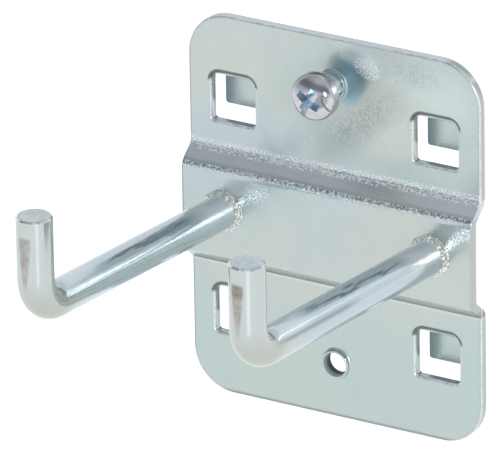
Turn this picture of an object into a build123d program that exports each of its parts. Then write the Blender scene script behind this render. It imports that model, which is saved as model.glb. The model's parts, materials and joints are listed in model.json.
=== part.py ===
from build123d import *
import os
from math import cos, radians, sin

# Double tool holder for a perforated panel, in millimetres.
# The origin is at the middle of the plate, on the plane of the back faces that lie on the panel.
# +X is to the right, +Y goes into the panel and +Z is up, so the hooks point along -Y.

# Sheet metal of the plate
sheet = 1.5
edge_rollover = 0.35
corner_radius = 7.5
side_margin = 4.2
end_margin = 10.7

# Panel that the plate hooks into
panel_pitch = 38.0
panel_gap = 3.2

# Windows, and the tongues that are lanced out of them, about the centres of the panel's holes
window_width = 8.2
window_above = 4.5
window_below = 4.1
window_top_radius = 1.7
window_foot_radius = 0.6
window_rollover = 0.5
tongue_side_clearance = 0.05
tongue_root = 1.1
tongue_foot_clearance = 1.4
tongue_foot_radius = 0.5
tongue_bend_inside = 0.5

# Pressed band that carries the hooks
band_height = 15.6
band_offset = 3.1
step_height = 2.5
step_bend_inside = 1.0

# Hooks, bent from round rod, a little outside the windows' columns, and the weld beads at their roots
rod_radius = 3.0
hook_outset = 0.5
hook_above_centre = 0.4
hook_reach = 58.6
hook_rise_angle = 5.3
hook_bend_inside = 3.0
prong_height = 16.2
prong_chamfer = 0.35
bead_width = 1.1
bead_height = 1.3
bead_lip = 0.2

# Locking screw, and the two tapped holes on the centre line, each in a collar raised out of the sheet
screw_from_top = 8.1
lower_hole_from_foot = 9.7
screw_radius = 2.0
thread_clearance = 0.05
collar_wall = 0.45
collar_height = 0.7
collar_root_radius = 0.4
collar_rim_radius = 0.2
screw_length = 8.0
screw_tip_chamfer = 0.4
screw_standoff = 4.8
head_radius = 4.0
head_rim_height = 1.5
head_dome_height = 2.2
head_edge_radius = 0.25

# Cross recess of the screw
recess_span = 4.8
recess_floor_span = 2.0
recess_width = 1.5
recess_floor_width = 0.9
recess_depth = 2.2
recess_turn = -30.0

# Sizes that follow from the ones above
plate_width = panel_pitch + window_width + 2 * side_margin
plate_height = panel_pitch + 2 * (window_below + end_margin)
plate_top = plate_height / 2
plate_front = -sheet
band_front = plate_front - band_offset
band_half = band_height / 2
step_outer = band_half + step_height
step_bend_outside = step_bend_inside + sheet
half_pitch = panel_pitch / 2
tongue_width = window_width - 2 * tongue_side_clearance
tongue_bend_outside = tongue_bend_inside + sheet
tongue_bend_start = window_above + tongue_root
tongue_bridge = tongue_bend_start - tongue_bend_outside
tongue_foot = tongue_foot_clearance - window_below
tongue_back = panel_gap + sheet
screw_height = plate_top - screw_from_top
lower_hole_height = lower_hole_from_foot - plate_top
thread_hole_radius = screw_radius + thread_clearance
collar_radius = thread_hole_radius + collar_wall
head_seat = plate_front - screw_standoff
head_top = head_seat - head_rim_height - head_dome_height
hook_bend_radius = hook_bend_inside + rod_radius
rise = radians(hook_rise_angle)
hook_out = Vector(0, -cos(rise), sin(rise))

# Planes that face the viewer, on the front of the plate and on the front of its band
plate_front_plane = Plane(origin=(0, plate_front, 0), x_dir=(1, 0, 0), z_dir=(0, -1, 0))
band_front_plane = plate_front_plane.offset(band_offset)

# A face whose normal has less than this along Y stands edge-on to the viewer
edge_on = 0.05

os.makedirs("parts", exist_ok=True)


def shared_edges(faces, other_faces):
    """The edges that lie between two groups of faces."""
    others = set(other_faces.edges())
    return ShapeList(edge for edge in faces.edges() if edge in others)


def stands_edge_on(face):
    """Whether a face stands edge-on to the viewer."""
    return abs(face.normal_at().Y) < edge_on


def faces_front(face):
    """Whether a face can be seen from straight in front."""
    return face.normal_at().Y < -edge_on


# Front of the folded section, from the top edge down, with a bend at each inner point
front_line = [
    (plate_front, plate_top),
    (plate_front, step_outer),
    (band_front, band_half),
    (band_front, -band_half),
    (plate_front, -step_outer),
    (plate_front, -plate_top),
]
front_bends = [step_bend_inside, step_bend_outside, step_bend_outside, step_bend_inside]

# Front of a tongue, from the plate above its window, back through the panel's hole and down behind the panel
tongue_line = [
    (plate_front, tongue_bend_start + sheet),
    (plate_front, tongue_bridge),
    (panel_gap, tongue_bridge),
    (panel_gap, tongue_foot),
]
tongue_bends = [tongue_bend_outside, tongue_bend_inside]
tongue_planes = [
    Plane(origin=(x, 0, z), x_dir=(0, 1, 0), z_dir=(1, 0, 0))
    for x in (-half_pitch, half_pitch)
    for z in (-half_pitch, half_pitch)
]

# One window, with round corners
with BuildSketch() as window:
    with Locations((0, -window_below)):
        Rectangle(window_width, window_below + window_above, align=(Align.CENTER, Align.MIN))
    fillet(window.vertices().group_by(Axis.Y)[-1], window_top_radius)
    fillet(window.vertices().group_by(Axis.Y)[0], window_foot_radius)

# Back plate: the folded section trimmed to its outline, with its windows, tongues and holes
with BuildPart() as back_plate:
    with BuildSketch(Plane.YZ):
        with BuildLine():
            FilletPolyline(*front_line, radius=front_bends)
            offset(amount=sheet, side=Side.LEFT)
        make_face()
    extrude(amount=plate_width / 2, both=True)
    with BuildSketch(Plane.XZ):
        RectangleRounded(plate_width, plate_height, corner_radius)
    extrude(amount=plate_width, both=True, mode=Mode.INTERSECT)

    outline_faces = back_plate.faces().filter_by(stands_edge_on)
    fillet(shared_edges(back_plate.faces().filter_by(faces_front), outline_faces), edge_rollover)

    with BuildSketch(Plane.XZ):
        with GridLocations(panel_pitch, panel_pitch, 2, 2):
            add(window.sketch)
    extrude(amount=plate_width, both=True, mode=Mode.SUBTRACT)
    window_walls = back_plate.faces(Select.LAST).filter_by(stands_edge_on)
    fillet(shared_edges(back_plate.faces().filter_by(faces_front), window_walls), window_rollover)

    with BuildSketch(*tongue_planes):
        with BuildLine():
            FilletPolyline(*tongue_line, radius=tongue_bends)
            offset(amount=sheet, side=Side.LEFT)
        make_face()
    extrude(amount=tongue_width / 2, both=True)
    tongue_corners = back_plate.edges().filter_by(Axis.Y).filter_by_position(Axis.Y, panel_gap, tongue_back)
    fillet(tongue_corners, tongue_foot_radius)

    with BuildSketch(plate_front_plane):
        with Locations((0, screw_height), (0, lower_hole_height)):
            Circle(collar_radius)
    extrude(amount=collar_height)
    collar_walls = back_plate.faces(Select.LAST).filter_by(GeomType.CYLINDER)
    fillet(collar_walls.edges().group_by(Axis.Y)[-1], collar_root_radius)
    with BuildSketch(Plane.XZ):
        with Locations((0, screw_height), (0, lower_hole_height)):
            Circle(thread_hole_radius)
    extrude(amount=plate_width, both=True, mode=Mode.SUBTRACT)
    collar_rims = back_plate.edges().filter_by(lambda edge: edge.is_closed).group_by(Axis.Y)[0]
    fillet(collar_rims, collar_rim_radius)

back_plate.part.label = "back_plate"
export_step(back_plate.part, "parts/back_plate.step")

# Half section of a weld bead, along the rod and out from its centre line
bead_radius = rod_radius + bead_width
bead_start = (-bead_width, rod_radius)
bead_foot = (0, bead_radius)
bead_end = (bead_height, rod_radius + bead_lip)

# Hooks and weld beads, one of each on either side
for side_name, side in (("left", -1), ("right", 1)):
    root = Vector(side * (half_pitch + hook_outset), band_front, hook_above_centre)
    bend_corner = root + hook_out * hook_reach
    prong_top = bend_corner + Vector(0, 0, prong_height)

    with BuildPart() as hook:
        with BuildLine() as centre_line:
            FilletPolyline(root - hook_out * rod_radius, bend_corner, prong_top, radius=hook_bend_radius)
        with BuildSketch(Plane(origin=centre_line.line @ 0, z_dir=hook_out)):
            Circle(rod_radius)
        sweep()
        split(bisect_by=band_front_plane, keep=Keep.TOP)
        chamfer(hook.faces().sort_by(Axis.Z)[-1].edges(), prong_chamfer)
    hook.part.label = f"{side_name}_hook"
    export_step(hook.part, f"parts/{side_name}_hook.step")

    with BuildPart() as weld_bead:
        with BuildSketch(Plane(origin=root, x_dir=hook_out, z_dir=(1, 0, 0))):
            with BuildLine():
                Polyline(bead_start, (-bead_width, bead_radius), bead_foot)
                RadiusArc(bead_foot, bead_end, bead_height)
                Polyline(bead_end, (bead_height, rod_radius), bead_start)
            make_face()
        revolve(axis=Axis(root, hook_out))
        split(bisect_by=band_front_plane, keep=Keep.TOP)
    weld_bead.part.label = f"{side_name}_weld_bead"
    export_step(weld_bead.part, f"parts/{side_name}_weld_bead.step")

# Locking screw: the turned form, then the two wings of its cross recess, from the top of the dome down
recess_mouth = Plane(origin=(0, head_top, screw_height), x_dir=(1, 0, 0), z_dir=(0, 1, 0))
recess_floor = recess_mouth.offset(recess_depth)

with BuildPart() as locking_screw:
    with BuildSketch(Plane(origin=(0, head_seat, screw_height))):
        with BuildLine():
            dome = EllipticalCenterArc(
                (0, -head_rim_height),
                head_radius,
                head_dome_height,
                start_angle=270,
                arc_size=90,
            )
            Polyline(
                dome @ 1,
                (head_radius, 0),
                (screw_radius, 0),
                (screw_radius, screw_length - screw_tip_chamfer),
                (screw_radius - screw_tip_chamfer, screw_length),
                (0, screw_length),
                dome @ 0,
            )
        make_face()
    revolve(axis=Axis((0, 0, screw_height), (0, 1, 0)))
    head_circles = locking_screw.edges().filter_by(GeomType.CIRCLE).group_by(SortBy.RADIUS)[-1]
    fillet(head_circles.sort_by(Axis.Y)[-1], head_edge_radius)
    for wing_turn in (recess_turn, recess_turn + 90):
        with BuildSketch(recess_mouth):
            Rectangle(recess_span, recess_width, rotation=wing_turn)
        with BuildSketch(recess_floor):
            Rectangle(recess_floor_span, recess_floor_width, rotation=wing_turn)
        loft(mode=Mode.SUBTRACT)

locking_screw.part.label = "locking_screw"
export_step(locking_screw.part, "parts/locking_screw.step")
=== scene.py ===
import json
from collections import namedtuple
from math import cos, pi, radians, sin, tan
from types import SimpleNamespace

import bmesh
import bpy
from mathutils import Matrix, Vector, noise


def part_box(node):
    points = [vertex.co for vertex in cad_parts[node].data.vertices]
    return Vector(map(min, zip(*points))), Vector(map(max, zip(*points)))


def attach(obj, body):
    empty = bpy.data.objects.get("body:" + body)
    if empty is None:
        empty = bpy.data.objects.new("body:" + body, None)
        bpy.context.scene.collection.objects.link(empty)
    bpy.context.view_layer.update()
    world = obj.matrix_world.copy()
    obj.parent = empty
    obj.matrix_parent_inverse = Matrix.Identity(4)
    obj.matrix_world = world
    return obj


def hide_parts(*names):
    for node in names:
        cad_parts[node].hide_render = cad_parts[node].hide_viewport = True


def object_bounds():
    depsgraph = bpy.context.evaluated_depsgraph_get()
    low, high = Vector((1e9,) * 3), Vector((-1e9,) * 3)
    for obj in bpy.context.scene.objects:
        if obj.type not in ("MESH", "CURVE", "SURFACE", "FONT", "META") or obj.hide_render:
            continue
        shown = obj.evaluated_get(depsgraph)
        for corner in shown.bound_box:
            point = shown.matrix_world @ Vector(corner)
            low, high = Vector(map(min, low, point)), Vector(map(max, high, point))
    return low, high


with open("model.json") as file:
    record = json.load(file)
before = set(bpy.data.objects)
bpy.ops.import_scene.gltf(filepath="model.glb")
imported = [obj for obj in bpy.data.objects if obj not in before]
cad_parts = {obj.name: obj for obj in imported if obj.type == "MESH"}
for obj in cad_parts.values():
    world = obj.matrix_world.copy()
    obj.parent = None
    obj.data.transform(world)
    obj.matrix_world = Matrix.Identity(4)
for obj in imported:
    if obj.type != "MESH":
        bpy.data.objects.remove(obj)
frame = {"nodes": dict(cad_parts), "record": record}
cad_low, cad_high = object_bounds()

MM = 0.001

# Camera: the photograph's viewing angle, from far off with a long lens
VIEW_AZIMUTH = radians(30.01)
VIEW_ELEVATION = radians(23.49)
VIEW_ROLL = radians(-0.77)
VIEW_DISTANCE = 1.5006
VIEW_LENS = 660.1
VIEW_SENSOR = 36.0
VIEW_PIVOT = Vector((0, -1.5 * MM, 0.39 * MM))
VIEW_AIM_RIGHT = -13.89 * MM
VIEW_AIM_UP = -0.09 * MM

# Studio: a white floor and three soft lamps
FLOOR_DROP = 60 * MM
FLOOR_SIZE = 6.0
FLOOR_WHITE = 0.8
FLOOR_GLOW = 0.62
Lamp = namedtuple("Lamp", "name place size power")
LAMPS = (
    Lamp("key_lamp", (0.75, -1.0, 0.25), 0.30, 3.5),
    Lamp("low_lamp", (0.102, -0.180, -0.052), 0.055, 0.0024),
    Lamp("back_lamp", (0.41, 0.71, 0.36), 0.09, 0.06),
)

# Hooks, with the sizes that CAD has
mounts = {mount["name"]: mount for mount in frame["record"]["mounts"]}
ROD_RADIUS = mounts["left_prong"]["dims"]["r_mm"] * MM
ROD_RISE = radians(5.3)
ROD_ROOT_HEIGHT = 0.4 * MM
HOOK_BEND_RADIUS = 6.0 * MM
PRONG_CHAMFER = 0.35 * MM
PRONG_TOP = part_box("left_hook")[1].z
PRONG_SPACING = mounts["right_prong"]["pos_m"][0] - mounts["left_prong"]["pos_m"][0]
HOOK_SEGMENTS = 72
ROD_RINGS = 60
BEND_RINGS = 40
PRONG_RINGS = 24
HOOK_SHARP_ANGLE = radians(30)

# Rough sawn ends of the hooks: rings as shares of the rod's radius, depth and grain of the roughness
SAWN_RINGS = (0.72, 0.5, 0.28, 0.1)
SAWN_DEPTH = 0.03 * MM
SAWN_GRAIN = 0.9 * MM

# Dents of the bending tool: ring past the bend's start, angle from its inside, size and depth in mm
ToolMark = namedtuple("ToolMark", "ring angle size depth")
TOOL_MARKS = (
    ToolMark(2, 0.35, 1.3, 0.16),
    ToolMark(4, 0.75, 1.0, 0.12),
    ToolMark(6, 0.15, 1.2, 0.14),
    ToolMark(9, 0.55, 1.0, 0.10),
    ToolMark(10, -0.5, 1.2, 0.12),
)

# Directions: across the part, up, out along a rod, and up from a rod's axis
ACROSS = Vector((1, 0, 0))
UPWARD = Vector((0, 0, 1))
ROD_OUTWARD = Vector((0, -cos(ROD_RISE), sin(ROD_RISE)))
ROD_UPWARD = Vector((0, sin(ROD_RISE), cos(ROD_RISE)))

# Plate
plate_low, plate_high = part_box("back_plate")
PLATE_WIDTH = plate_high.x - plate_low.x
PLATE_HEIGHT = plate_high.z - plate_low.z
PLATE_FRONT = -1.5 * MM
CORNER_RADIUS = 7.5 * MM
BAND_HALF = 7.8 * MM
STEP_OUTER = 10.3 * MM
PANEL_PITCH = mounts["panel_hooks"]["dims"]["spacing_x_mm"] * MM
WINDOW_SPAN = 8.2 * MM
WINDOW_ABOVE = 4.5 * MM
WINDOW_BELOW = 4.1 * MM
WINDOW_CORNER = 1.7 * MM
LOWER_HOLE_HEIGHT = mounts["lower_screw_hole"]["pos_m"][2]
LOWER_HOLE_RADIUS = mounts["lower_screw_hole"]["dims"]["r_mm"] * MM

# Weld beads: mean size, how far they vary round the rod, ripples and grain
BEAD_WIDTH = 0.72 * MM
BEAD_WIDTH_SWING = 0.2 * MM
BEAD_HEIGHT = 0.85 * MM
BEAD_HEIGHT_SWING = 0.4 * MM
BEAD_LAP = 0.1 * MM
BEAD_RIPPLES = 3
BEAD_RIPPLE_SWING = 0.5
BEAD_RIPPLE_DEPTH = 0.11 * MM
BEAD_GRAIN_DEPTH = 0.07 * MM
BEAD_GRAIN_SIZE = 0.4 * MM
BEAD_FINE_GRAIN_SHARE = 0.7
BEAD_NOISE_RADIUS = 3
BEAD_SEGMENTS = 260
BEAD_STEPS = 30

# Locking screw
SCREW_RADIUS = 1.98 * MM
SCREW_ROOT_RADIUS = 1.55 * MM
SCREW_PITCH = 0.7 * MM
SCREW_START = -0.3 * MM
THREAD_STEPS_ROUND = 48
THREAD_STEPS_ALONG = 8
THREAD_FLANK_SLOPE = 5.2
THREAD_CREST_LEVEL = 1.6
HEAD_RADIUS = 4.0 * MM
HEAD_RIM = 1.5 * MM
HEAD_DOME = 2.2 * MM
HEAD_EDGE = 0.25 * MM
HEAD_EDGE_STEPS = 6
HEAD_DOME_STEPS = 28
HEAD_SEGMENTS = 96
RECESS_SPAN = 4.8 * MM
RECESS_FLOOR_SPAN = 2.0 * MM
RECESS_WIDTH = 1.5 * MM
RECESS_FLOOR_WIDTH = 0.9 * MM
RECESS_DEPTH = 2.2 * MM
RECESS_OVERSHOOT = 0.5
RECESS_TURN = radians(-30)
SCREW_SHARP_ANGLE = radians(35)
MERGE_DISTANCE = 0.0005 * MM

# Soft spots on the front of the plate: centre and half sizes in mm, and a turn about Y in degrees
Spot = namedtuple("Spot", "x z turn half_width half_height")
SPOT_CORE = 0.15
# Painted sheen in the upper right corner, and a darker patch above the upper step
SHEEN_IN_CORNER = Spot(19, 28, 25, 13, 7)
DARK_ABOVE_STEP = Spot(13, 12, 0, 14, 5)
# Painted shade below the screw
SHADE_BELOW_SCREW = Spot(1.6, 14.2, -30, 8, 5)
DULL_ABOVE_SCREW = Spot(4.4, 31.4, 15, 5.5, 3.2)
DULL_BELOW_SCREW = Spot(-7.6, 14.9, -20, 6.5, 7)
DULL_FROM_ROD = Spot(3.6, 5.7, -20, 5.5, 3.2)
DULL_LEFT_STRENGTH = 0.8
DULL_RIGHT_STRENGTH = 0.35
SPECKS_BY_SCREW = Spot(6.3, 29.6, 20, 3.2, 2.3)
SPECKS_BY_LEFT_WELD = Spot(-13.5, 4.0, -25, 4.5, 1.6)
SPECKS_BY_RIGHT_WELD = Spot(25.0, 4.8, -25, 3.5, 1.5)
MOTTLE_BELOW_SCREW = Spot(5, 20, -38, 14, 5)
MOTTLE_IN_CORNER = Spot(15, 30.5, 15, 8, 4)
# Painted blue reflection of the screw on the plate, behind it
SCREW_REFLECTION_SPOT = Spot(2.6, 26.6, 0, 4.6, 5.2)

# A dark reflection on the screw's dome, from the middle of its head
DOME_SHADE = Spot(2.3, 0.3, 30, 1.3, 1.9)

# Shiny streak along each rod, kept out of the painted light: the side it is on at the plate's back, and
# how that changes per metre
STREAK_SIDE = 0.70
STREAK_WIND = 9.4

# Finish of each metal: sizes of its grain, depths of its relief, roughness and shine
SHEET_GRAIN = 0.4 * MM
SHEET_GRAIN_DEPTH = 0.003 * MM
MOTTLE_GRAIN = 0.4 * MM
MOTTLE_DEPTH = 0.012 * MM
CRINKLE_GRAIN = 0.3 * MM
CRINKLE_DEPTH = 0.04 * MM
SHEET_ROUGHNESS = (0.23, 0.31)
PATCH_ROUGHNESS = 0.25
SHEET_METALLIC = 0.88
# Less shine where highlights and glints are painted on the sheet
HIGHLIGHT_METALLIC = 0.3
DULL_METALLIC_SHARE = 0.5
ROD_SCRATCH = 0.4 * MM
ROD_SCRATCH_DEPTH = 0.0012 * MM
ROD_PIT = 0.6 * MM
ROD_PIT_DEPTH = 0.003 * MM
ROD_ROUGHNESS = (0.13, 0.19)
ROD_METALLIC = 0.93
# Less shine where light is painted on the rods' upper sides
PALE_ROD_METALLIC = 0.45
WELD_GRAIN = 0.22 * MM
WELD_GRAIN_DEPTH = 0.03 * MM
WELD_ROUGHNESS = (0.32, 0.18)
WELD_METALLIC = 0.65
SCREW_GRAIN = 0.6 * MM
SCREW_GRAIN_DEPTH = 0.004 * MM
SCREW_ROUGHNESS = 0.09
RECESS_ROUGHNESS = 0.2
SCREW_METALLIC = 0.9
# Less shine where light is painted on the shank
SHANK_METALLIC = 0.55

# Colours
SHEET_COLOR = SimpleNamespace(
    green=(0.51, 0.575, 0.55),
    warm=(0.555, 0.58, 0.53),
    blue=(0.50, 0.565, 0.58),
    # painted sheen in the upper right corner
    light=(0.59, 0.675, 0.65),
    above_step=(0.435, 0.51, 0.485),
    low=(0.485, 0.565, 0.54),
    dull=(0.70, 0.775, 0.765),
    # painted shade below the screw
    below_screw=(0.42, 0.48, 0.47),
    edge=(0.445, 0.455, 0.445),
    # painted highlight along the top edge, painted shade along the left and bottom edges
    top_edge_highlight=(0.62, 0.635, 0.63),
    edge_shade=(0.25, 0.255, 0.255),
    step_lines=(0.56, 0.55, 0.60),
    step_end=(0.66, 0.68, 0.69),
    # painted shade on the foot of the lower step
    step_foot_shade=(0.20, 0.21, 0.225),
    # painted shade on the window walls and round the window tops
    window_wall_shade=(0.30, 0.33, 0.34),
    window_line_shade=(0.10, 0.125, 0.12),
    tongue_shade=(0.24, 0.31, 0.38),
    # painted shade in the bore of the lower hole
    bore=(0.015, 0.02, 0.025),
    dark_speck=(0.27, 0.30, 0.34),
    # painted highlights and glints
    bright=(0.93, 0.94, 0.96),
    mottle=(0.33, 0.38, 0.39),
    # painted blue reflection of the screw
    screw_reflection=(0.35, 0.50, 0.565),
)
ROD_COLOR = SimpleNamespace(
    left=(0.575, 0.66, 0.705),
    right=(0.49, 0.565, 0.61),
    prong=(0.54, 0.57, 0.55),
    tint=(0.53, 0.57, 0.56),
    bend=(0.46, 0.465, 0.395),
    # painted light on the rods' upper sides, strongest near both ends
    pale=(0.66, 0.74, 0.77),
    palest=(0.84, 0.89, 0.90),
    # painted shade on the right rod
    shade=(0.33, 0.35, 0.38),
    # painted brown reflection on the prongs, darker and redder at its top on the right one
    brown_reflection=(0.335, 0.30, 0.265),
    dark_red_reflection=(0.20, 0.13, 0.11),
    dark_rim=(0.14, 0.16, 0.17),
    # painted glints on the sawn rims
    rim_glints=(0.95, 0.96, 0.96),
    saw_mark=(0.66, 0.75, 0.73),
    pit=(0.40, 0.44, 0.46),
)
WELD_COLOR = SimpleNamespace(
    # painted shade with a golden cast in the hollows, painted highlights on the grains
    shaded_hollow=(0.34, 0.335, 0.25),
    grain=(0.97, 0.985, 0.965),
)
SCREW_COLOR = SimpleNamespace(
    dark=(0.53, 0.515, 0.53),
    light=(0.61, 0.605, 0.62),
    reflection=(0.26, 0.235, 0.25),
    recess=(0.62, 0.72, 0.80),
    # painted light on the shank
    shank=(0.80, 0.87, 0.91),
)


def make_camera():
    """A camera at the photograph's place, turned so that the object stands where it does there."""
    across = cos(VIEW_ELEVATION)
    back = Vector((sin(VIEW_AZIMUTH) * across, -cos(VIEW_AZIMUTH) * across, sin(VIEW_ELEVATION)))
    right = Matrix.Rotation(VIEW_ROLL, 3, back) @ Vector((cos(VIEW_AZIMUTH), sin(VIEW_AZIMUTH), 0))
    up = back.cross(right)
    place = VIEW_PIVOT + back * VIEW_DISTANCE
    target = VIEW_PIVOT + right * VIEW_AIM_RIGHT + up * VIEW_AIM_UP
    look_back = (place - target).normalized()
    look_right = up.cross(look_back).normalized()
    look_up = look_back.cross(look_right)
    data = bpy.data.cameras.new("camera")
    data.lens = VIEW_LENS
    data.sensor_width = VIEW_SENSOR
    data.clip_start = 0.1
    data.clip_end = 20.0
    camera = bpy.data.objects.new("camera", data)
    turn = Matrix((look_right, look_up, look_back)).transposed()
    camera.matrix_world = Matrix.Translation(place) @ turn.to_4x4()
    bpy.context.scene.collection.objects.link(camera)
    bpy.context.scene.camera = camera


class Nodes:
    """A short way to write a node tree: each method adds a few nodes and gives the last one's output."""

    def __init__(self, tree):
        self.tree = tree
        tree.nodes.clear()

    def add(self, kind, **settings):
        node = self.tree.nodes.new(kind)
        for name, value in settings.items():
            setattr(node, name, value)
        return node

    def feed(self, socket, value):
        """Sets a socket to a plain value, or links it to another node's output."""
        if isinstance(value, bpy.types.NodeSocket):
            self.tree.links.new(value, socket)
        else:
            socket.default_value = value

    def position(self):
        """The place of a point in the object's own frame."""
        return self.add("ShaderNodeTexCoord").outputs["Object"]

    def part(self, vector, axis):
        node = self.add("ShaderNodeSeparateXYZ")
        self.feed(node.inputs[0], vector)
        return node.outputs[axis]

    def facing(self, axis):
        """How far a surface looks along one of the object's axes, from -1 to 1."""
        return self.part(self.add("ShaderNodeTexCoord").outputs["Normal"], axis)

    def facing_front(self):
        """1 on faces that look along -Y, 0 on those that stand edge-on or look back."""
        return self.rise(self.facing("Y"), 0.0, -0.4)

    def facing_up(self):
        """1 on faces that look up, 0 on upright faces and on those that look down."""
        return self.rise(self.facing("Z"), 0.1, 0.6)

    def placed(self, vector, location=(0, 0, 0), rotation=(0, 0, 0), scale=(1, 1, 1), kind="POINT"):
        node = self.add("ShaderNodeMapping", vector_type=kind)
        self.feed(node.inputs["Vector"], vector)
        node.inputs["Location"].default_value = location
        node.inputs["Rotation"].default_value = rotation
        node.inputs["Scale"].default_value = scale
        return node.outputs[0]

    def noise(self, vector, size, detail=2.0, roughness=0.5):
        """Noise whose features are about the given size in metres."""
        node = self.add("ShaderNodeTexNoise")
        self.feed(node.inputs["Vector"], vector)
        node.inputs["Scale"].default_value = 1 / size
        node.inputs["Detail"].default_value = detail
        node.inputs["Roughness"].default_value = roughness
        return node.outputs["Fac"]

    def math(self, operation, first, second=0.0):
        node = self.add("ShaderNodeMath", operation=operation)
        self.feed(node.inputs[0], first)
        self.feed(node.inputs[1], second)
        return node.outputs[0]

    def times(self, first, *others):
        for other in others:
            first = self.math("MULTIPLY", first, other)
        return first

    def most(self, first, *others):
        for other in others:
            first = self.math("MAXIMUM", first, other)
        return first

    def inverse(self, value):
        return self.math("SUBTRACT", 1, value)

    def remap(self, value, low, high, new_low, new_high):
        """A smooth change from one range of values to another, held at its ends."""
        node = self.add("ShaderNodeMapRange", interpolation_type="SMOOTHSTEP")
        self.feed(node.inputs["Value"], value)
        node.inputs["From Min"].default_value = low
        node.inputs["From Max"].default_value = high
        node.inputs["To Min"].default_value = new_low
        node.inputs["To Max"].default_value = new_high
        return node.outputs[0]

    def rise(self, value, start, end):
        """0 where a value is at the start, 1 where it is at the end, smooth between and held beyond."""
        return self.remap(value, start, end, 0, 1)

    def near(self, value, middle, reach):
        """1 where a value is at the middle, falling to 0 at a reach to either side."""
        away = self.math("ABSOLUTE", self.math("SUBTRACT", value, middle))
        return self.rise(away, reach, 0)

    def between(self, value, low, high, soft):
        """1 where a value lies between two others, falling to 0 over a soft stretch outside them."""
        return self.times(self.rise(value, low - soft, low), self.rise(value, high + soft, high))

    def length(self, vector):
        node = self.add("ShaderNodeVectorMath", operation="LENGTH")
        self.feed(node.inputs[0], vector)
        return node.outputs["Value"]

    def spot(self, place, spot):
        """1 at the centre of a spot, falling to 0 at its edge."""
        centre = (spot.x * MM, 0, spot.z * MM)
        size = (spot.half_width * MM, 1, spot.half_height * MM)
        inside = self.placed(place, centre, (0, radians(spot.turn), 0), size, "TEXTURE")
        return self.rise(self.length(inside), 1, SPOT_CORE)

    def mix(self, factor, first, second):
        node = self.add("ShaderNodeMix", data_type="RGBA")
        self.feed(node.inputs["Factor"], factor)
        self.feed(node.inputs["A"], (*first, 1) if isinstance(first, tuple) else first)
        self.feed(node.inputs["B"], (*second, 1) if isinstance(second, tuple) else second)
        return node.outputs["Result"]

    def paint(self, color, mask, paint, strength=1.0):
        """Covers a colour with a paint where a mask is 1, as far as the strength says."""
        if strength < 1:
            mask = self.times(mask, strength)
        return self.mix(mask, color, paint)

    def ramp(self, value, stops):
        """A colour ramp over a value, from (position, colour) stops."""
        node = self.add("ShaderNodeValToRGB")
        elements = node.color_ramp.elements
        while len(elements) < len(stops):
            elements.new(0.5)
        for element, (position, color) in zip(elements, stops):
            element.position = position
            element.color = (*color, 1)
        self.feed(node.inputs[0], value)
        return node.outputs["Color"]

    def bump(self, height, depth, normal=None):
        """A bump whose height of 0 to 1 stands for a depth in metres."""
        node = self.add("ShaderNodeBump")
        self.feed(node.inputs["Height"], height)
        node.inputs["Distance"].default_value = depth
        if normal is not None:
            self.feed(node.inputs["Normal"], normal)
        return node.outputs[0]

    def metal(self, color, roughness, normal, metallic):
        shader = self.add("ShaderNodeBsdfPrincipled")
        self.feed(shader.inputs["Metallic"], metallic)
        self.feed(shader.inputs["Base Color"], color)
        self.feed(shader.inputs["Roughness"], roughness)
        self.feed(shader.inputs["Normal"], normal)
        output = self.add("ShaderNodeOutputMaterial")
        self.feed(output.inputs["Surface"], shader.outputs[0])


def new_material(name):
    material = bpy.data.materials.new(name)
    material.use_nodes = True
    return material, Nodes(material.node_tree)


def grey(level, blue=0.0):
    """A grey, with a little more blue than red if asked."""
    return (level * (1 - blue), level, level * (1 + blue))


def make_floor():
    """A plain white floor that shows as white and still takes the object's shadow."""
    half = FLOOR_SIZE / 2
    height = cad_low.z - FLOOR_DROP
    mesh = bpy.data.meshes.new("floor")
    corners = [(x * half, y * half, height) for x, y in ((-1, -1), (1, -1), (1, 1), (-1, 1))]
    mesh.from_pydata(corners, [], [(0, 1, 2, 3)])
    floor = bpy.data.objects.new("floor", mesh)
    bpy.context.scene.collection.objects.link(floor)

    material, nodes = new_material("white_floor")
    paths = nodes.add("ShaderNodeLightPath").outputs
    seen = nodes.most(paths["Is Camera Ray"], paths["Is Glossy Ray"], paths["Is Transmission Ray"])
    diffuse = nodes.add("ShaderNodeBsdfDiffuse")
    diffuse.inputs["Color"].default_value = (*grey(FLOOR_WHITE), 1)
    glow = nodes.add("ShaderNodeEmission")
    nodes.feed(glow.inputs["Strength"], nodes.times(seen, FLOOR_GLOW))
    both = nodes.add("ShaderNodeAddShader")
    nodes.feed(both.inputs[0], diffuse.outputs[0])
    nodes.feed(both.inputs[1], glow.outputs[0])
    output = nodes.add("ShaderNodeOutputMaterial")
    nodes.feed(output.inputs["Surface"], both.outputs[0])
    mesh.materials.append(material)


def make_world():
    """Soft light from all round, with a dimmer room high up in front, behind the camera."""
    behind = [
        (0.0, grey(0.96)),
        (0.15, grey(0.94, 0.03)),
        (0.5, grey(0.90, 0.09)),
        (0.75, grey(0.66, 0.07)),
        (1.0, grey(0.60, 0.05)),
    ]
    in_front = [
        (0.0, grey(0.95)),
        (0.10, grey(0.88, 0.06)),
        (0.18, grey(0.72, 0.12)),
        (0.30, grey(0.30, 0.14)),
        (0.58, grey(0.25, 0.14)),
        (0.76, grey(0.48, 0.06)),
        (0.87, grey(0.66, 0.05)),
        (1.0, grey(0.66, 0.05)),
    ]
    world = bpy.data.worlds.new("studio")
    bpy.context.scene.world = world
    world.use_nodes = True
    nodes = Nodes(world.node_tree)
    direction = nodes.add("ShaderNodeTexCoord").outputs["Generated"]
    height = nodes.part(direction, "Z")
    front = nodes.rise(nodes.part(direction, "Y"), 0.15, -0.35)
    color = nodes.mix(front, nodes.ramp(height, behind), nodes.ramp(height, in_front))
    background = nodes.add("ShaderNodeBackground")
    nodes.feed(background.inputs["Color"], color)
    output = nodes.add("ShaderNodeOutputWorld")
    nodes.feed(output.inputs["Surface"], background.outputs[0])


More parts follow.
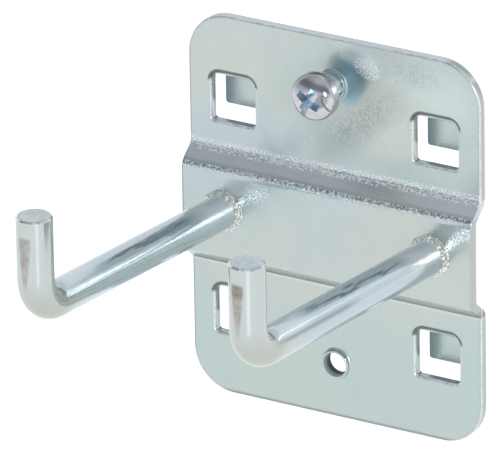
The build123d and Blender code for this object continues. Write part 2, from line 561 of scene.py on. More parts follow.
def make_lamp(lamp):
    """A round soft lamp that shines at the object."""
    data = bpy.data.lights.new(lamp.name, "AREA")
    data.shape = "DISK"
    data.size = lamp.size
    data.energy = lamp.power
    light = bpy.data.objects.new(lamp.name, data)
    light.location = lamp.place
    light.rotation_euler = (-Vector(lamp.place)).to_track_quat("-Z", "Y").to_euler()
    light.visible_camera = False
    bpy.context.scene.collection.objects.link(light)


def new_object(name, mesh_data):
    """Links an object to the scene, made from a bmesh with its faces turned outwards."""
    bmesh.ops.recalc_face_normals(mesh_data, faces=mesh_data.faces)
    mesh = bpy.data.meshes.new(name)
    mesh_data.to_mesh(mesh)
    mesh_data.free()
    made = bpy.data.objects.new(name, mesh)
    bpy.context.scene.collection.objects.link(made)
    return made


def add_piece(name, mesh_data, material, body, sharp_angle=None):
    """Turns a bmesh into a smooth piece that rides on a body."""
    for face in mesh_data.faces:
        face.smooth = True
    piece = new_object(name, mesh_data)
    if sharp_angle is not None:
        piece.data.set_sharp_from_angle(angle=sharp_angle)
    piece.data.materials.append(material)
    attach(piece, body)
    return piece


def bridge_rings(mesh_data, rings):
    """Closes the strips between one ring of vertices and the next."""
    for ring, following in zip(rings, rings[1:]):
        count = len(ring)
        for i in range(count):
            j = (i + 1) % count
            mesh_data.faces.new((ring[i], ring[j], following[j], following[i]))


def close_ends(mesh_data, rings):
    """Closes the first and the last of some bridged rings."""
    mesh_data.faces.new(rings[0])
    mesh_data.faces.new(rings[-1])


def hook_frames(side):
    """The rod's centre line from root to top, as (centre, direction, inward normal) at each ring."""
    low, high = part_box(f"{side}_hook")
    root = Vector(((low.x + high.x) / 2, high.y, ROD_ROOT_HEIGHT))
    prong_y = low.y + ROD_RADIUS
    reach = (high.y - prong_y) / cos(ROD_RISE)
    corner = root + ROD_OUTWARD * reach
    turn = pi / 2 - ROD_RISE
    setback = HOOK_BEND_RADIUS * tan(turn / 2)
    frames = []
    rod_length = reach - setback
    for i in range(ROD_RINGS):
        centre = root + ROD_OUTWARD * (rod_length * i / ROD_RINGS)
        frames.append((centre, ROD_OUTWARD, ROD_UPWARD))
    bend_start = corner - ROD_OUTWARD * setback
    bend_centre = bend_start + ROD_UPWARD * HOOK_BEND_RADIUS
    for i in range(BEND_RINGS + 1):
        angle = turn * i / BEND_RINGS
        radial = ROD_OUTWARD * sin(angle) - ROD_UPWARD * cos(angle)
        direction = ROD_OUTWARD * cos(angle) + ROD_UPWARD * sin(angle)
        frames.append((bend_centre + radial * HOOK_BEND_RADIUS, direction, -radial))
    inward = frames[-1][2]
    prong_start = corner + UPWARD * setback
    prong_length = high.z - PRONG_CHAMFER - prong_start.z
    for i in range(1, PRONG_RINGS + 1):
        centre = prong_start + UPWARD * (prong_length * i / PRONG_RINGS)
        frames.append((centre, UPWARD, inward))
    return frames


def falloff(share):
    """1 at the middle, 0 from a share of 1 on, smooth between."""
    if share >= 1:
        return 0.0
    return (1 - share * share) ** 2


def tool_dents(frames):
    """Dents that the bending tool left on the inside of the bend: (place, size, depth)."""
    dents = []
    for mark in TOOL_MARKS:
        centre, _, inward = frames[ROD_RINGS + mark.ring]
        normal = inward * cos(mark.angle) + ACROSS * sin(mark.angle)
        dents.append((centre + normal * ROD_RADIUS, mark.size * MM, mark.depth * MM))
    return dents


def ring_normals(inward):
    """Directions out from the rod's axis, evenly round it."""
    angles = [2 * pi * i / HOOK_SEGMENTS for i in range(HOOK_SEGMENTS)]
    return [inward * cos(angle) + ACROSS * sin(angle) for angle in angles]


def make_hook(side, material):
    """A hook swept from round rod, with the marks of the bending tool inside its bend and a sawn end."""
    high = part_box(f"{side}_hook")[1]
    frames = hook_frames(side)
    dents = tool_dents(frames)
    mesh_data = bmesh.new()
    rings = []
    for index, (centre, direction, inward) in enumerate(frames):
        ring = []
        for normal in ring_normals(inward):
            point = centre + normal * ROD_RADIUS
            if index == 0:
                point -= direction * ((point.y - high.y) / direction.y)
            for place, size, depth in dents:
                point -= normal * (depth * falloff((point - place).length / size))
            ring.append(mesh_data.verts.new(point))
        rings.append(ring)
    centre, _, inward = frames[-1]
    top = Vector((centre.x, centre.y, high.z))
    for share in (1 - PRONG_CHAMFER / ROD_RADIUS, *SAWN_RINGS):
        ring = []
        for normal in ring_normals(inward):
            point = top + normal * (ROD_RADIUS * share)
            point.z += SAWN_DEPTH * (noise.noise(point / SAWN_GRAIN) - 1)
            ring.append(mesh_data.verts.new(point))
        rings.append(ring)
    bridge_rings(mesh_data, rings)
    close_ends(mesh_data, rings)
    piece = add_piece(f"{side}_hook_rod", mesh_data, material, "holder", HOOK_SHARP_ANGLE)
    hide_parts(f"{side}_hook")


def bead_noise(side, radial, waves, offset):
    """Noise that changes slowly round a weld bead, and differs from one side to the other."""
    around = radial * BEAD_NOISE_RADIUS + Vector((side == "left", 0, 0))
    return noise.noise(around * waves + ACROSS * offset)


def make_weld_bead(side, material):
    """A rough ring of weld round a hook's root."""
    low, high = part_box(f"{side}_hook")
    root = Vector(((low.x + high.x) / 2, high.y, ROD_ROOT_HEIGHT))
    mesh_data = bmesh.new()
    rings = []
    for i in range(BEAD_SEGMENTS):
        angle = 2 * pi * i / BEAD_SEGMENTS
        radial = ACROSS * cos(angle) + ROD_UPWARD * sin(angle)
        width = BEAD_WIDTH + BEAD_WIDTH_SWING * bead_noise(side, radial, waves=1.4, offset=0)
        height = BEAD_HEIGHT + BEAD_HEIGHT_SWING * bead_noise(side, radial, waves=1.4, offset=7)
        shift = BEAD_RIPPLE_SWING * bead_noise(side, radial, waves=2.2, offset=3)
        out_way = (radial * height + ROD_OUTWARD * width).normalized()
        ring = []
        for j in range(BEAD_STEPS + 1):
            share = j / BEAD_STEPS
            swell = sin(share * pi)
            point = root + radial * (ROD_RADIUS + width * (1 - share))
            point += ROD_OUTWARD * ((high.y - point.y) / ROD_OUTWARD.y + height * sin(share * pi / 2))
            ripple = cos(2 * pi * (BEAD_RIPPLES * share + shift))
            fine = noise.noise(point / (BEAD_GRAIN_SIZE / 2))
            grain = noise.noise(point / BEAD_GRAIN_SIZE) + BEAD_FINE_GRAIN_SHARE * fine
            point += out_way * (swell * (BEAD_RIPPLE_DEPTH * ripple + BEAD_GRAIN_DEPTH * grain))
            ring.append(mesh_data.verts.new(point))
        for share in (1.0, 0.0):
            point = root + radial * (ROD_RADIUS - BEAD_LAP)
            point += ROD_OUTWARD * ((high.y - point.y) / ROD_OUTWARD.y + share * height)
            ring.append(mesh_data.verts.new(point))
        rings.append(ring)
    bridge_rings(mesh_data, [*rings, rings[0]])
    piece = add_piece(f"{side}_weld_ring", mesh_data, material, "holder")
    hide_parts(f"{side}_weld_bead")


def lathe(mesh_data, profile, axis_place, segments):
    """Turns a profile of (distance along Y, radius) points about a line along Y, closed at both ends."""
    rings = []
    for along, radius in profile:
        ring = []
        for i in range(segments):
            angle = 2 * pi * i / segments
            offset = Vector((radius * cos(angle), along, radius * sin(angle)))
            ring.append(mesh_data.verts.new(axis_place + offset))
        rings.append(ring)
    bridge_rings(mesh_data, rings)
    close_ends(mesh_data, rings)


def head_profile():
    """The pan head's half section, from the shank out along its seat and over the dome."""
    points = [(0.0, SCREW_ROOT_RADIUS), (0.0, HEAD_RADIUS - HEAD_EDGE)]
    for i in range(1, HEAD_EDGE_STEPS + 1):
        angle = pi / 2 * i / HEAD_EDGE_STEPS
        points.append((-HEAD_EDGE * (1 - cos(angle)), HEAD_RADIUS - HEAD_EDGE * (1 - sin(angle))))
    for i in range(HEAD_DOME_STEPS):
        angle = pi / 2 * i / HEAD_DOME_STEPS
        points.append((-HEAD_RIM - HEAD_DOME * sin(angle), HEAD_RADIUS * cos(angle)))
    return points


def recess_cutter(top):
    """The tapered cross that a driver fits, as an object that reaches out past the head's top."""
    mesh_data = bmesh.new()
    for quarter in (0, 1):
        turn = Matrix.Rotation(-(RECESS_TURN + quarter * pi / 2), 4, "Y")
        rings = []
        for share in (-RECESS_OVERSHOOT, 1.0):
            half_span = (RECESS_SPAN + (RECESS_FLOOR_SPAN - RECESS_SPAN) * share) / 2
            half_width = (RECESS_WIDTH + (RECESS_FLOOR_WIDTH - RECESS_WIDTH) * share) / 2
            ring = []
            for x, z in ((-1, -1), (1, -1), (1, 1), (-1, 1)):
                corner = Vector((x * half_span, RECESS_DEPTH * share, z * half_width))
                ring.append(mesh_data.verts.new(top + turn @ corner))
            rings.append(ring)
        bridge_rings(mesh_data, rings)
        close_ends(mesh_data, rings)
    return new_object("recess_cutter", mesh_data)


def cut_head(axis_place, top):
    """The screw's head with its recess cut, as a bmesh."""
    head_data = bmesh.new()
    lathe(head_data, head_profile(), axis_place, HEAD_SEGMENTS)
    head = new_object("screw_head", head_data)
    cutter = recess_cutter(top)
    cut = head.modifiers.new("recess", "BOOLEAN")
    cut.operation = "DIFFERENCE"
    cut.solver = "EXACT"
    cut.use_self = True
    cut.object = cutter
    whole = head.evaluated_get(bpy.context.evaluated_depsgraph_get())
    mesh_data = bmesh.new()
    mesh_data.from_mesh(bpy.data.meshes.new_from_object(whole))
    bpy.data.objects.remove(head)
    bpy.data.objects.remove(cutter)
    bmesh.ops.remove_doubles(mesh_data, verts=mesh_data.verts, dist=MERGE_DISTANCE)
    return mesh_data


def thread_radius(along, length, phase):
    """The thread's radius at a distance along it and a share of its pitch; it runs out at both ends."""
    to_end = min(length - along, along - SCREW_START)
    crest = min(SCREW_RADIUS - SCREW_ROOT_RADIUS, to_end)
    level = THREAD_CREST_LEVEL - abs(phase - 0.5) * THREAD_FLANK_SLOPE
    return SCREW_ROOT_RADIUS + crest * max(0.0, min(1.0, level))


def add_thread(mesh_data, axis_place, length):
    """A right-hand thread from inside the head to the tip: a closed grid that follows the helix."""
    first = -2 * THREAD_STEPS_ALONG
    last = int(length / SCREW_PITCH + 1) * THREAD_STEPS_ALONG
    columns = []
    for i in range(THREAD_STEPS_ROUND + 1):
        column = []
        angle = 2 * pi * i / THREAD_STEPS_ROUND
        for j in range(first, last + 1):
            along = (j / THREAD_STEPS_ALONG + i / THREAD_STEPS_ROUND) * SCREW_PITCH
            along = min(max(along, SCREW_START), length)
            phase = (j % THREAD_STEPS_ALONG) / THREAD_STEPS_ALONG
            radius = thread_radius(along, length, phase)
            offset = Vector((radius * cos(angle), along, -radius * sin(angle)))
            column.append(mesh_data.verts.new(axis_place + offset))
        columns.append(column)
    for column, following in zip(columns, columns[1:]):
        for j in range(len(column) - 1):
            mesh_data.faces.new((column[j], column[j + 1], following[j + 1], following[j]))
    for end in (0, -1):
        mesh_data.faces.new([column[end] for column in columns[:-1]])
    thread_points = [point for column in columns for point in column]
    bmesh.ops.remove_doubles(mesh_data, verts=thread_points, dist=MERGE_DISTANCE)


def make_screw(material):
    """The locking screw: a pan head with a cross recess, and a threaded shank."""
    low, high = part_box("locking_screw")
    seat = low.y + HEAD_RIM + HEAD_DOME
    axis_place = Vector(((low.x + high.x) / 2, seat, (low.z + high.z) / 2))
    top = Vector((axis_place.x, low.y, axis_place.z))
    mesh_data = cut_head(axis_place, top)
    add_thread(mesh_data, axis_place, high.y - seat)
    piece = add_piece(
        "locking_screw_threaded", mesh_data, material, "screw", SCREW_SHARP_ANGLE
    )
    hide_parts("locking_screw")


def from_nearest(nodes, value, spacing):
    """How far a value lies from the nearer of two places, half the spacing to either side of 0."""
    nearest = nodes.times(nodes.math("SIGN", value), spacing / 2)
    return nodes.math("SUBTRACT", value, nearest)


def outside_box(nodes, across, upright, half_width, half_height, radius):
    """How far a point lies outside a rectangle with round corners; below 0 inside it."""
    beyond = []
    for value, half in ((across, half_width), (upright, half_height)):
        away = nodes.math("SUBTRACT", nodes.math("ABSOLUTE", value), half)
        beyond.append(nodes.math("ADD", away, radius))
    squares = [nodes.math("POWER", nodes.math("MAXIMUM", value, 0), 2) for value in beyond]
    diagonal = nodes.math("SQRT", nodes.math("ADD", *squares))
    inner = nodes.math("MINIMUM", nodes.math("MAXIMUM", *beyond), 0)
    return nodes.math("SUBTRACT", nodes.math("ADD", diagonal, inner), radius)


def sheet_tint_and_sheen(nodes, place):
    """The zinc's own colour: soft warm, green and blue patches, greener low on the plate; besides, a
    painted sheen in the upper right corner and a darker patch above the upper step.
    """
    tint = nodes.noise(place, 20 * MM, detail=1.0)
    elsewhere = nodes.placed(place, location=(0.3, 0.1, 0.2))
    other_tint = nodes.noise(elsewhere, 15 * MM, detail=1.0)
    color = nodes.mix(nodes.rise(tint, 0.35, 0.65), SHEET_COLOR.green, SHEET_COLOR.warm)
    color = nodes.paint(color, nodes.rise(other_tint, 0.45, 0.7), SHEET_COLOR.blue, strength=0.7)
    # Painted sheen in the upper right corner
    color = nodes.paint(color, nodes.spot(place, SHEEN_IN_CORNER), SHEET_COLOR.light, strength=0.8)
    dark_above_step = nodes.spot(place, DARK_ABOVE_STEP)
    color = nodes.paint(color, dark_above_step, SHEET_COLOR.above_step, strength=0.95)
    low = nodes.rise(nodes.part(place, "Z"), -8 * MM, -20 * MM)
    return nodes.paint(color, low, SHEET_COLOR.low, strength=0.7)


def dull_places(nodes, place):
    """1 where the sheet is dull and pale: above each weld, above the screw and to the left below it."""
    below_screw = nodes.times(nodes.spot(place, DULL_BELOW_SCREW), 0.9)
    spots = [nodes.spot(place, DULL_ABOVE_SCREW), below_screw]
    for side, strength in ((-1, DULL_LEFT_STRENGTH), (1, DULL_RIGHT_STRENGTH)):
        rod_x = side * PRONG_SPACING / 2 / MM
        above_weld = DULL_FROM_ROD._replace(x=rod_x + DULL_FROM_ROD.x)
        spots.append(nodes.times(nodes.spot(place, above_weld), strength))
    return nodes.times(nodes.rise(nodes.most(*spots), 0, 0.7), nodes.facing_front())


def paint_edges(nodes, place, color):
    """Outer edges without the green cast, with a painted highlight along the top and painted shade along
    the left and the bottom.
    """
    across = nodes.part(place, "X")
    height = nodes.part(place, "Z")
    half_width = PLATE_WIDTH / 2
    half_height = PLATE_HEIGHT / 2
    outside = outside_box(nodes, across, height, half_width, half_height, CORNER_RADIUS)
    at_edge = nodes.rise(outside, -0.6 * MM, -0.1 * MM)
    color = nodes.paint(color, at_edge, SHEET_COLOR.edge, strength=0.85)
    # Painted highlight along the top edge, painted shade along the left and bottom edges
    top = nodes.rise(height, half_height - 0.4 * MM, half_height)
    color = nodes.paint(color, top, SHEET_COLOR.top_edge_highlight)
    bottom = nodes.rise(height, 0.9 * MM - half_height, 0.2 * MM - half_height)
    left = nodes.rise(across, 0.5 * MM - half_width, 0.15 * MM - half_width)
    return nodes.paint(color, nodes.most(bottom, left), SHEET_COLOR.edge_shade, strength=0.9)


def paint_steps(nodes, place, color):
    """Faint lines on the upper step, a lighter right end, and painted shade on the foot of the lower
    step, which faces down.
    """
    height = nodes.part(place, "Z")
    upper_step = nodes.between(height, BAND_HALF + 0.3 * MM, STEP_OUTER - 0.4 * MM, 0.3 * MM)
    brushed = nodes.noise(nodes.placed(place, scale=(0.04, 1, 1)), 0.3 * MM, roughness=0.6)
    lines = nodes.times(upper_step, nodes.rise(brushed, 0.35, 0.65))
    color = nodes.paint(color, lines, SHEET_COLOR.step_lines, strength=0.7)
    right_end = nodes.times(upper_step, nodes.rise(nodes.part(place, "X"), 5 * MM, 25 * MM))
    color = nodes.paint(color, right_end, SHEET_COLOR.step_end, strength=0.6)
    # Painted shade on the foot of the lower step
    down_step = nodes.rise(height, -BAND_HALF - 0.6 * MM, 0.3 * MM - STEP_OUTER)
    above_plate = nodes.rise(height, -STEP_OUTER - 0.05 * MM, 0.1 * MM - STEP_OUTER)
    foot = nodes.times(down_step, above_plate)
    return nodes.paint(color, foot, SHEET_COLOR.step_foot_shade, strength=0.75)


def window_shades(nodes, place):
    """Three masks of the windows: their sheared walls and the dark line round their tops, which carry
    painted shade, and those tops.
    """
    depth = nodes.part(place, "Y")
    across = from_nearest(nodes, nodes.part(place, "X"), PANEL_PITCH)
    above = from_nearest(nodes, nodes.part(place, "Z"), PANEL_PITCH)
    from_middle = nodes.math("SUBTRACT", above, (WINDOW_ABOVE - WINDOW_BELOW) / 2)
    half_height = (WINDOW_ABOVE + WINDOW_BELOW) / 2
    outside = outside_box(nodes, across, from_middle, WINDOW_SPAN / 2, half_height, WINDOW_CORNER)
    at_window = nodes.rise(outside, 0.9 * MM, 0.6 * MM)
    walls = nodes.times(at_window, nodes.between(depth, -0.3 * MM, -0.1 * MM, 0.5 * MM))
    tops = nodes.times(at_window, nodes.rise(above, 2.6 * MM, 3.4 * MM))
    lines = nodes.times(tops, nodes.between(outside, 0.12 * MM, 0.5 * MM, 0.3 * MM))
    near_front = nodes.rise(depth, PLATE_FRONT + 0.8 * MM, PLATE_FRONT + 0.6 * MM)
    return walls, nodes.times(lines, near_front), tops


def tongue_edges(nodes, place):
    """1 along the left edge of each tongue, fading across it."""
    across = nodes.part(place, "X")
    columns = []
    for column in (-PANEL_PITCH / 2, PANEL_PITCH / 2):
        columns.append(nodes.near(across, column - WINDOW_SPAN / 2, 2.2 * MM))
    behind_plate = nodes.rise(nodes.part(place, "Y"), 1.5 * MM, 2.6 * MM)
    return nodes.times(nodes.most(*columns), behind_plate)


def lower_bore(nodes, place):
    """1 in the tapped bore of the lower hole."""
    from_axis = nodes.placed(place, (0, 0, -LOWER_HOLE_HEIGHT), scale=(1, 0, 1))
    away = nodes.length(from_axis)
    return nodes.rise(away, LOWER_HOLE_RADIUS + 0.15 * MM, LOWER_HOLE_RADIUS + 0.05 * MM)


def crinkled_places(nodes, place):
    """1 where the zinc is crinkled: along the bends of the upper step, by the screw and by the welds."""
    height = nodes.part(place, "Z")
    upper_bend = nodes.between(height, STEP_OUTER - 0.1 * MM, STEP_OUTER + 0.5 * MM, 0.9 * MM)
    lower_bend = nodes.between(height, BAND_HALF - 0.4 * MM, BAND_HALF + 0.1 * MM, 0.3 * MM)
    by_screw = nodes.rise(nodes.spot(place, SPECKS_BY_SCREW), 0, 0.5)
    by_left_weld = nodes.spot(place, SPECKS_BY_LEFT_WELD)
    by_right_weld = nodes.spot(place, SPECKS_BY_RIGHT_WELD)
    by_welds = nodes.times(nodes.most(by_left_weld, by_right_weld), 0.8)
    crinkled = nodes.most(upper_bend, lower_bend, by_screw, by_welds)
    return nodes.times(crinkled, nodes.facing_front())


def sheet_material():
    """Bright zinc on sheet: tints, a soft grain, painted highlights and shade on the edges, rough
    patches, crinkled bends with painted glints, and a painted reflection of the screw.
    """
    material, nodes = new_material("plated_sheet")
    place = nodes.position()
    depth = nodes.part(place, "Y")
    height = nodes.part(place, "Z")
    front = nodes.facing_front()

    # Tints, with dull pale spots and painted shade below the screw
    dull = dull_places(nodes, place)
    color = sheet_tint_and_sheen(nodes, place)
    color = nodes.paint(color, dull, SHEET_COLOR.dull, strength=0.8)
    below_screw = nodes.spot(place, SHADE_BELOW_SCREW)
    color = nodes.paint(color, below_screw, SHEET_COLOR.below_screw, strength=0.6)
    color = paint_edges(nodes, place, color)
    color = paint_steps(nodes, place, color)

    # Painted shade: on the sheared walls, as a dark line round the tops of the windows, on the shaded
    # side of the tongues, and in the lower hole's bore
    walls, lines, tops = window_shades(nodes, place)
    color = nodes.paint(color, walls, SHEET_COLOR.window_wall_shade, strength=0.6)
    color = nodes.paint(color, lines, SHEET_COLOR.window_line_shade, strength=0.9)
    color = nodes.paint(color, tongue_edges(nodes, place), SHEET_COLOR.tongue_shade, strength=0.8)
    in_bore = lower_bore(nodes, place)
    # Painted shade in the bore, darker deeper in, with no shine
    darker_inside = nodes.remap(depth, PLATE_FRONT - 0.4 * MM, PLATE_FRONT + 0.8 * MM, 0.3, 1)
    color = nodes.paint(color, nodes.times(in_bore, darker_inside), SHEET_COLOR.bore)

    # Painted highlights on the rolled edges, on a line below the lower step and along the upper bend, and
    # crinkled zinc with dark specks and painted glints in it
    rolled = nodes.between(depth, PLATE_FRONT + 0.04 * MM, PLATE_FRONT + 0.32 * MM, 0.02 * MM)
    uneven_highlight = nodes.remap(nodes.noise(place, 0.9 * MM), 0.38, 0.6, 0.4, 0.8)
    rolled = nodes.times(rolled, nodes.inverse(nodes.most(tops, in_bore)), uneven_highlight)
    low_line = nodes.times(nodes.near(height, -STEP_OUTER - 0.25 * MM, 0.3 * MM), 0.25)
    crinkled = crinkled_places(nodes, place)
    crinkle = nodes.noise(place, CRINKLE_GRAIN, detail=1.5, roughness=0.55)
    dark_specks = nodes.times(crinkled, nodes.rise(crinkle, 0.46, 0.36))
    glint_specks = nodes.times(nodes.rise(crinkled, 0, 0.6), nodes.rise(crinkle, 0.49, 0.57), 0.95)
    bend_line = nodes.near(height, STEP_OUTER - 0.1 * MM, 0.2 * MM)
    bend_line = nodes.times(bend_line, nodes.remap(crinkle, 0.4, 0.55, 0.6, 1))
    # All the painted highlights and glints of the sheet
    bright = nodes.most(glint_specks, bend_line, rolled, low_line)
    color = nodes.paint(color, dark_specks, SHEET_COLOR.dark_speck, strength=0.35)
    color = nodes.paint(color, bright, SHEET_COLOR.bright)

    # Rough patches below the screw and in the upper right corner, and a painted blue reflection of the
    # screw behind it
    in_corner = nodes.times(nodes.spot(place, MOTTLE_IN_CORNER), 0.6)
    mottled = nodes.times(nodes.most(nodes.spot(place, MOTTLE_BELOW_SCREW), in_corner), front)
    mottle = nodes.noise(place, MOTTLE_GRAIN, detail=1.5, roughness=0.6)
    dark_mottle = nodes.times(mottled, nodes.rise(mottle, 0.56, 0.42))
    color = nodes.paint(color, dark_mottle, SHEET_COLOR.mottle, strength=0.6)
    off_collar = nodes.rise(depth, PLATE_FRONT - 0.2 * MM, PLATE_FRONT - 0.05 * MM)
    screw_reflection = nodes.times(nodes.spot(place, SCREW_REFLECTION_SPOT), front, off_collar)
    blue = nodes.times(nodes.rise(screw_reflection, 0.03, 0.4), nodes.inverse(bright))
    color = nodes.paint(color, blue, SHEET_COLOR.screw_reflection, strength=0.9)

    # Grain, dullness and shine
    grain = nodes.noise(place, SHEET_GRAIN, detail=4.0, roughness=0.6)
    normal = nodes.bump(grain, SHEET_GRAIN_DEPTH)
    normal = nodes.bump(nodes.times(mottle, mottled), MOTTLE_DEPTH, normal)
    normal = nodes.bump(nodes.times(crinkle, crinkled), CRINKLE_DEPTH, normal)
    clouds = nodes.noise(place, 6 * MM, detail=3.0)
    rougher = nodes.times(nodes.most(mottled, nodes.times(screw_reflection, 0.6), in_bore), PATCH_ROUGHNESS)
    roughness = nodes.math("ADD", nodes.remap(clouds, 0.3, 0.7, *SHEET_ROUGHNESS), rougher)
    metallic = nodes.remap(bright, 0, 1, SHEET_METALLIC, HIGHLIGHT_METALLIC)
    metallic = nodes.times(metallic, nodes.remap(dull, 0, 1, 1, DULL_METALLIC_SHARE))
    metallic = nodes.times(metallic, nodes.inverse(in_bore))
    nodes.metal(color, roughness, normal, metallic)
    return material


def upper_light_places(nodes, place):
    """1 where light is painted on the rods' upper sides, apart from a shiny streak that winds along each
    rod.
    """
    along = nodes.part(place, "Y")
    uneven = nodes.noise(nodes.placed(place, scale=(1, 0.05, 1)), 0.9 * MM)
    side = nodes.math("ADD", nodes.facing("X"), nodes.remap(uneven, 0.3, 0.7, -0.22, 0.22))
    winding = nodes.math("ADD", nodes.times(along, STREAK_WIND), STREAK_SIDE)
    away = nodes.math("ABSOLUTE", nodes.math("SUBTRACT", side, winding))
    middle = nodes.between(along, -42 * MM, -21 * MM, 7 * MM)
    streak = nodes.times(nodes.rise(away, 0.2, 0.06), middle)
    before_bend = nodes.rise(along, -60 * MM, -54 * MM)
    return nodes.times(nodes.inverse(nodes.times(streak, 0.9)), before_bend, nodes.facing_up())


def prong_brown_reflection(nodes, place):
    """1 where a brown reflection is painted on the prongs: a streak on the outer face that narrows
    downwards.
    """
    height = nodes.part(place, "Z")
    sideways = from_nearest(nodes, nodes.part(place, "X"), PRONG_SPACING)
    away = nodes.math("ABSOLUTE", nodes.math("ADD", sideways, 0.2 * MM))
    reach = nodes.remap(height, 8 * MM, 18.5 * MM, 0.3 * MM, 1.3 * MM)
    streak = nodes.rise(nodes.math("DIVIDE", away, reach), 1.05, 0.55)
    span = nodes.times(nodes.rise(height, 9 * MM, 13 * MM), nodes.rise(height, 19.4 * MM, 18.6 * MM))
    outer_face = nodes.rise(nodes.part(place, "Y"), -63.5 * MM, -64.5 * MM)
    patchy = nodes.remap(nodes.noise(place, 1.6 * MM), 0.3, 0.6, 0.5, 1)
    return nodes.times(streak, span, outer_face, patchy)


def paint_sawn_ends(nodes, place, color):
    """The prongs' sawn ends: faint saw marks, and a rim that is dark in places and carries painted glints
    in others.
    """
    height = nodes.part(place, "Z")
    rim = nodes.near(height, PRONG_TOP - 0.25 * MM, 0.22 * MM)
    uneven = nodes.noise(place, 0.9 * MM)
    dark_rim = nodes.times(rim, nodes.rise(uneven, 0.45, 0.35))
    rim_glints = nodes.times(rim, nodes.rise(uneven, 0.48, 0.55))
    color = nodes.paint(color, dark_rim, ROD_COLOR.dark_rim, strength=0.8)
    color = nodes.paint(color, rim_glints, ROD_COLOR.rim_glints, strength=0.9)
    sawn = nodes.rise(height, PRONG_TOP - 0.12 * MM, PRONG_TOP - 0.06 * MM)
    saw_marks = nodes.noise(nodes.placed(place, scale=(1, 0.4, 1)), 0.7 * MM, detail=3.0, roughness=0.6)
    marked = nodes.times(sawn, nodes.rise(saw_marks, 0.46, 0.62))
    return nodes.paint(color, marked, ROD_COLOR.saw_mark, strength=0.45)


def rod_material():
    """Bright zinc on drawn rod: glossy, finely scratched, with painted light on the upper sides and a
    painted brown reflection on each prong.
    """
    material, nodes = new_material("plated_rod")
    place = nodes.position()
    along = nodes.part(place, "Y")
    height = nodes.part(place, "Z")
    right_rod = nodes.math("GREATER_THAN", nodes.part(place, "X"), 0)

    # Tints: bluer along the rods, which run from y = -63 to -4.6 mm, and yellower in the bends
    rod_color = nodes.mix(right_rod, ROD_COLOR.left, ROD_COLOR.right)
    color = nodes.mix(nodes.rise(along, -62 * MM, -40 * MM), ROD_COLOR.prong, rod_color)
    tint = nodes.rise(nodes.noise(place, 12 * MM, detail=1.0), 0.35, 0.65)
    color = nodes.paint(color, tint, ROD_COLOR.tint, strength=0.5)
    in_bend = nodes.times(nodes.rise(height, 12 * MM, 5 * MM), nodes.rise(along, -54 * MM, -59 * MM))
    color = nodes.paint(color, in_bend, ROD_COLOR.bend, strength=0.8)

    # Painted light on the upper sides, paler and less metallic, strongest near both ends, and a painted
    # shade along the right rod
    pale = upper_light_places(nodes, place)
    color = nodes.paint(color, pale, ROD_COLOR.pale, strength=0.9)
    near_bend = nodes.times(nodes.between(along, -56 * MM, -50 * MM, 6 * MM), 0.6)
    near_root = nodes.rise(along, -18 * MM, -10 * MM)
    palest = nodes.times(pale, nodes.most(near_bend, near_root))
    color = nodes.paint(color, palest, ROD_COLOR.palest)
    # Painted shade: a dark band on the outer part of the right rod
    outer_part = nodes.between(along, -54 * MM, -38 * MM, 8 * MM)
    shade = nodes.times(nodes.near(nodes.facing("Z"), 0.36, 0.24), right_rod, outer_part)
    color = nodes.paint(color, shade, ROD_COLOR.shade, strength=0.85)

    # Painted brown reflections on the prongs, darker and redder at the top of the right one, then the
    # sawn ends and small pits
    brown_reflection = prong_brown_reflection(nodes, place)
    color = nodes.paint(color, brown_reflection, ROD_COLOR.brown_reflection, strength=0.85)
    dark_red_reflection = nodes.times(brown_reflection, nodes.rise(height, 16.4 * MM, 17.6 * MM), right_rod)
    color = nodes.paint(color, dark_red_reflection, ROD_COLOR.dark_red_reflection, strength=0.55)
    color = paint_sawn_ends(nodes, place, color)
    pits = nodes.noise(place, ROD_PIT, detail=4.0, roughness=0.65)
    color = nodes.paint(color, nodes.rise(pits, 0.62, 0.75), ROD_COLOR.pit, strength=0.35)

    # Scratches, uneven roughness, and shine that drops where light is painted on the upper sides
    lengthwise = nodes.placed(place, scale=(1, 0.05, 0.6))
    scratches = nodes.noise(lengthwise, ROD_SCRATCH, detail=3.0, roughness=0.6)
    normal = nodes.bump(scratches, ROD_SCRATCH_DEPTH)
    normal = nodes.bump(pits, ROD_PIT_DEPTH, normal)
    roughness = nodes.remap(nodes.noise(place, 4 * MM, detail=3.0), 0.3, 0.7, *ROD_ROUGHNESS)
    metallic = nodes.remap(pale, 0, 1, ROD_METALLIC, PALE_ROD_METALLIC)
    nodes.metal(color, roughness, normal, metallic)
    return material


def weld_material():
    """Zinc over a rough weld: grains with painted highlights, and painted shade with a golden cast in the
    hollows.
    """
    material, nodes = new_material("plated_weld")
    grain = nodes.noise(nodes.position(), WELD_GRAIN, detail=3.0, roughness=0.6)
    color = nodes.mix(nodes.rise(grain, 0.41, 0.53), WELD_COLOR.shaded_hollow, WELD_COLOR.grain)
    roughness = nodes.remap(grain, 0.4, 0.6, *WELD_ROUGHNESS)
    normal = nodes.bump(grain, WELD_GRAIN_DEPTH)
    nodes.metal(color, roughness, normal, metallic=WELD_METALLIC)
    return material


def in_recess(nodes, place, top, middle):
    """1 inside the screw's cross recess, below the surface of the dome."""
    along = nodes.part(place, "Y")
    from_axis = nodes.placed(place, (0, 0, -middle), scale=(1, 0, 1))
    share = nodes.math("DIVIDE", nodes.length(from_axis), HEAD_RADIUS)
    dome = nodes.math("SQRT", nodes.inverse(nodes.times(share, share)))
    surface = nodes.math("SUBTRACT", top + HEAD_DOME, nodes.times(dome, HEAD_DOME))
    depth = nodes.math("SUBTRACT", along, surface)
    in_head = nodes.math("LESS_THAN", along, top + HEAD_DOME + HEAD_RIM - 0.1 * MM)
    return nodes.times(nodes.rise(depth, 0.05 * MM, 0.3 * MM), nodes.rise(share, 0.75, 0.7), in_head)


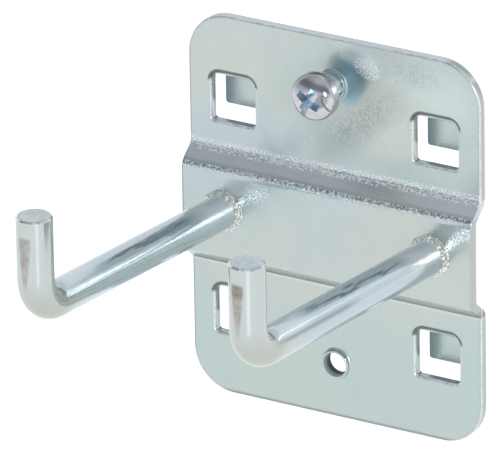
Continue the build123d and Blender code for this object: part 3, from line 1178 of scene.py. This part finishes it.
def screw_material():
    """Bright zinc on a cold-headed screw, close to a mirror, with a dull blue recess and painted light on
    the shank, which is paler and less metallic.
    """
    material, nodes = new_material("plated_screw")
    place = nodes.position()
    low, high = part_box("locking_screw")
    middle = (low.z + high.z) / 2
    seat = low.y + HEAD_DOME + HEAD_RIM
    tint = nodes.rise(nodes.noise(place, 3 * MM), 0.35, 0.65)
    color = nodes.mix(tint, SCREW_COLOR.dark, SCREW_COLOR.light)

    # Dark reflections on the upper left of the dome and beside the recess
    upper = nodes.rise(nodes.part(place, "Z"), middle + 0.2 * MM, middle + 2.2 * MM)
    towards_left = nodes.remap(nodes.part(place, "X"), 0.2 * MM, 1.5 * MM, 0.4, 0.08)
    by_recess = nodes.spot(place, DOME_SHADE._replace(z=middle / MM + DOME_SHADE.z))
    by_recess = nodes.times(nodes.rise(by_recess, 0, 0.6), 0.85)
    reflection = nodes.most(nodes.times(upper, towards_left), by_recess)
    color = nodes.paint(color, reflection, SCREW_COLOR.reflection)

    # Recess, and painted light on the shank where it sits between head and plate
    recess = in_recess(nodes, place, low.y, middle)
    color = nodes.paint(color, recess, SCREW_COLOR.recess)
    shank = nodes.rise(nodes.part(place, "Y"), seat - 0.1 * MM, seat + 0.1 * MM)
    color = nodes.paint(color, shank, SCREW_COLOR.shank)
    roughness = nodes.remap(recess, 0, 1, SCREW_ROUGHNESS, RECESS_ROUGHNESS)
    normal = nodes.bump(nodes.noise(place, SCREW_GRAIN, detail=3.0), SCREW_GRAIN_DEPTH)
    metallic = nodes.remap(shank, 0, 1, SCREW_METALLIC, SHANK_METALLIC)
    nodes.metal(color, roughness, normal, metallic)
    return material


def dress(node, material):
    """Gives a node of the frame a new material."""
    piece = frame["nodes"][node]
    piece.data.materials.clear()
    piece.data.materials.append(material)


bpy.context.scene.view_settings.view_transform = "Standard"
make_camera()
make_floor()
make_world()
for lamp in LAMPS:
    make_lamp(lamp)

dress("back_plate", sheet_material())
rod_metal = rod_material()
weld_metal = weld_material()
for side in ("left", "right"):
    make_hook(side, rod_metal)
    make_weld_bead(side, weld_metal)
make_screw(screw_material())
